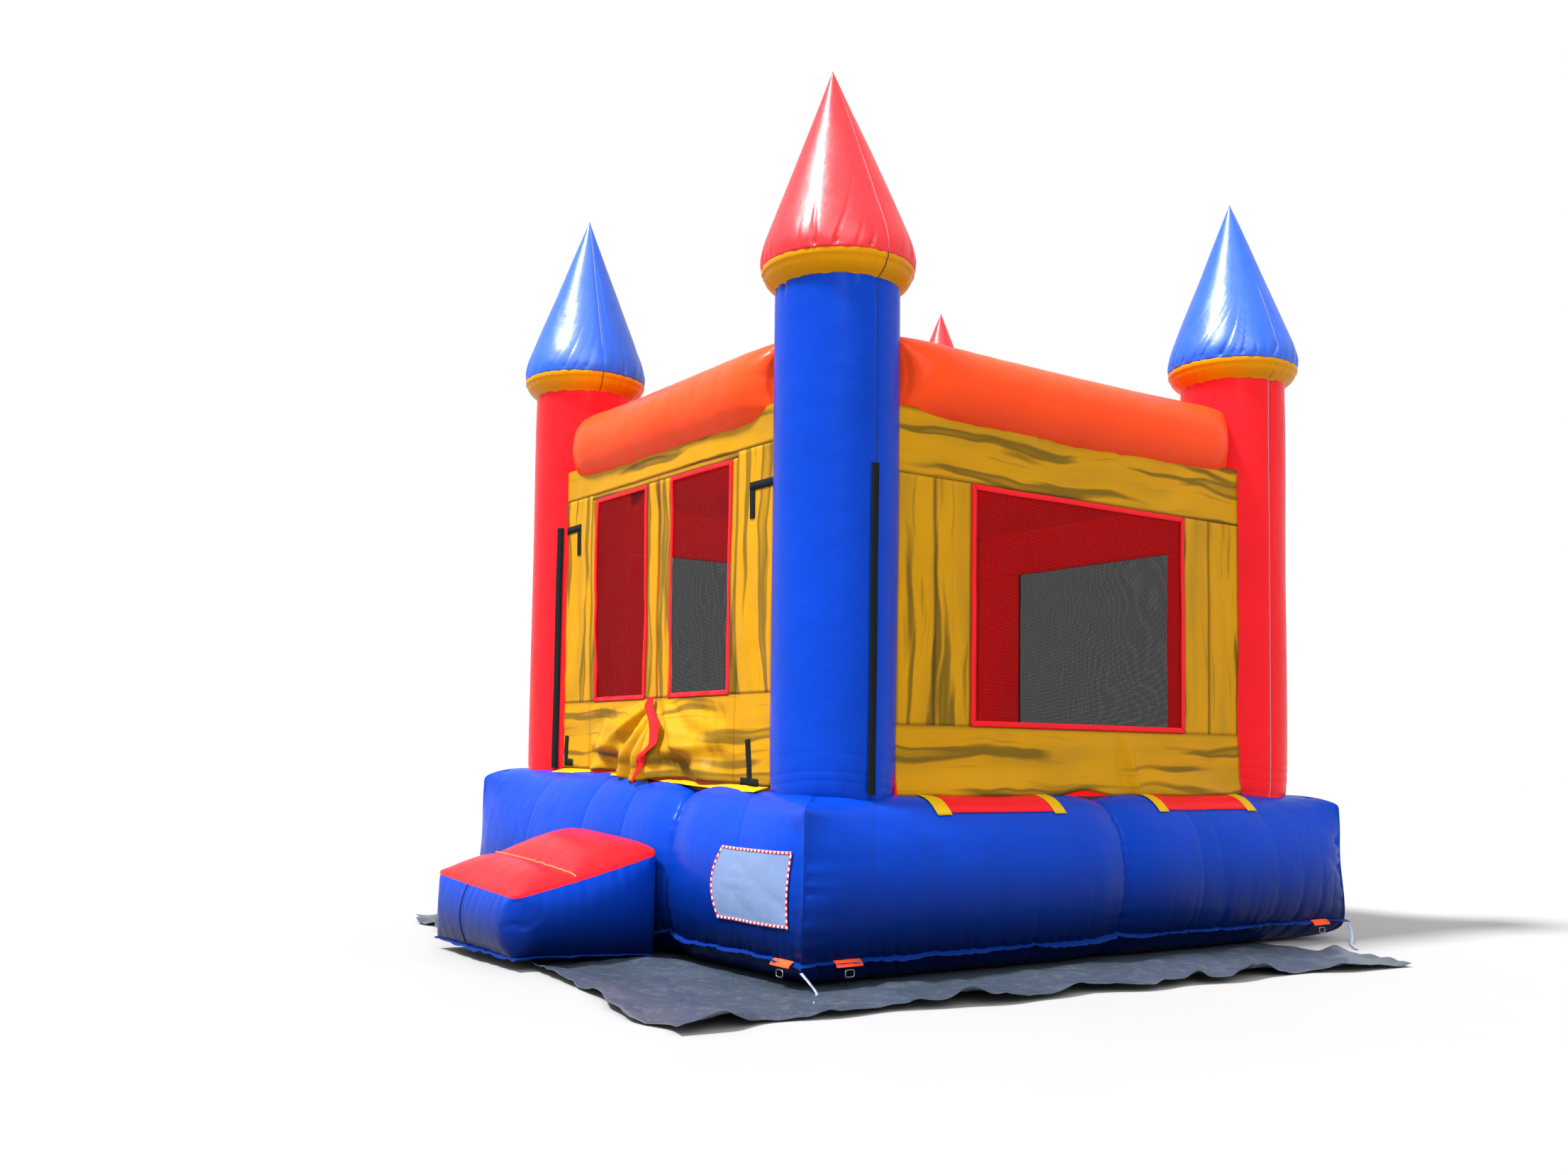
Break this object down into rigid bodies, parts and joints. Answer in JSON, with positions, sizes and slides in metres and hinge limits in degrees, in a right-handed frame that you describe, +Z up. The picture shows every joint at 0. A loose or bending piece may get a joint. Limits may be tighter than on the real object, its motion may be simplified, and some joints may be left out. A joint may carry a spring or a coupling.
{
  "type": "inflatable bounce house",
  "caption": "Inflatable castle bounce house with corner columns, cone tops, tube beams, mesh windows, a slit entrance with two door leaves, a padded step and a ground tarp.",
  "frame": {"origin": "middle of the base's plan, on the floor, at the underside of the ground tarp", "axes": "+Z up; the entrance faces -Y; +X to the right of someone facing the entrance from outside"},
  "size_m": [4.5402, 5.5441, 4.479],
  "materials": {
    "blue_vinyl": "satin",
    "red_vinyl": "satin",
    "gold_vinyl": "satin",
    "orange_vinyl": "satin",
    "yellow_vinyl": "satin",
    "hem_vinyl": "satin",
    "web_fabric": "matte",
    "pale_vinyl": "satin",
    "mesh": "matte",
    "black_tape": "matte",
    "orange_webbing": "matte",
    "white_webbing": "matte",
    "tarp": "satin",
    "steel": "satin",
    "plastic": "gloss"
  },
  "bodies": {
    "house": {"anchor_rings": "steel", "anchor_tabs": "orange_webbing", "back_wall_panel": "red_vinyl", "back_window_border": "red_vinyl", "back_window_mesh": "mesh", "banner_strips": "black_tape", "base_hem": "hem_vinyl", "base_side_back": "blue_vinyl", "base_side_front": "blue_vinyl", "base_side_left": "blue_vinyl", "base_side_right": "blue_vinyl", "beam_back": "orange_vinyl", "beam_front": "orange_vinyl", "beam_left": "orange_vinyl", "beam_right": "orange_vinyl", "bounce_floor": "blue_vinyl", "collar_back_left": "gold_vinyl", "collar_back_right": "gold_vinyl", "collar_front_left": "gold_vinyl", "collar_front_right": "gold_vinyl", "column_back_left": "blue_vinyl", "column_back_right": "red_vinyl", "column_front_left": "red_vinyl", "column_front_right": "blue_vinyl", "cone_back_left": "red_vinyl", "cone_back_right": "blue_vinyl", "cone_front_left": "blue_vinyl", "cone_front_right": "red_vinyl", "floor_webs": "web_fabric", "front_sill": "yellow_vinyl", "front_wall_header": "yellow_vinyl", "front_wall_left_strip": "yellow_vinyl", "front_wall_right_strip": "yellow_vinyl", "ground_tarp": "tarp", "inflation_sleeve": "blue_vinyl", "info_panel": "pale_vinyl", "left_wall_panel": "red_vinyl", "left_window_border": "red_vinyl", "left_window_mesh": "mesh", "right_wall_panel": "yellow_vinyl", "right_window_border": "red_vinyl", "right_window_mesh": "mesh", "roof_cover": "red_vinyl", "shoulder_patch_ends": "yellow_vinyl", "shoulder_patches": "red_vinyl", "sleeve_strap": "white_webbing", "step_body": "blue_vinyl", "step_top": "red_vinyl", "tie_strap_back_right": "white_webbing", "tie_strap_front_right": "white_webbing", "zip_tape": "black_tape"},
    "door_right": {"door_leaf_right": "yellow_vinyl", "door_mesh_right": "mesh", "door_pull_strip": "red_vinyl"},
    "door_left": {"door_leaf_left": "yellow_vinyl", "door_mesh_left": "mesh"},
    "zip_slider": {"zip_slider": "plastic"},
    "zip_cover_flap": {"zip_cover_flap": "blue_vinyl"}
  },
  "joints": [
    {"name": "door_right_hinge", "type": "hinge", "parent": "house", "child": "door_right", "pos_m": [0.8, -1.7265, 1.7], "axis": [0, 0, 1], "range_deg": [0, 100]},
    {"name": "door_left_hinge", "type": "hinge", "parent": "house", "child": "door_left", "pos_m": [-0.8, -1.7265, 1.7], "axis": [0, 0, -1], "range_deg": [0, 100]},
    {"name": "zip_slide", "type": "slide", "parent": "house", "child": "zip_slider", "axis": [1, 0, 0], "range_m": [0, 0.64]},
    {"name": "zip_flap_hinge", "type": "hinge", "parent": "house", "child": "zip_cover_flap", "pos_m": [0.65, 2.063, 0.485], "axis": [1, 0, 0], "range_deg": [0, 150]}
  ]
}
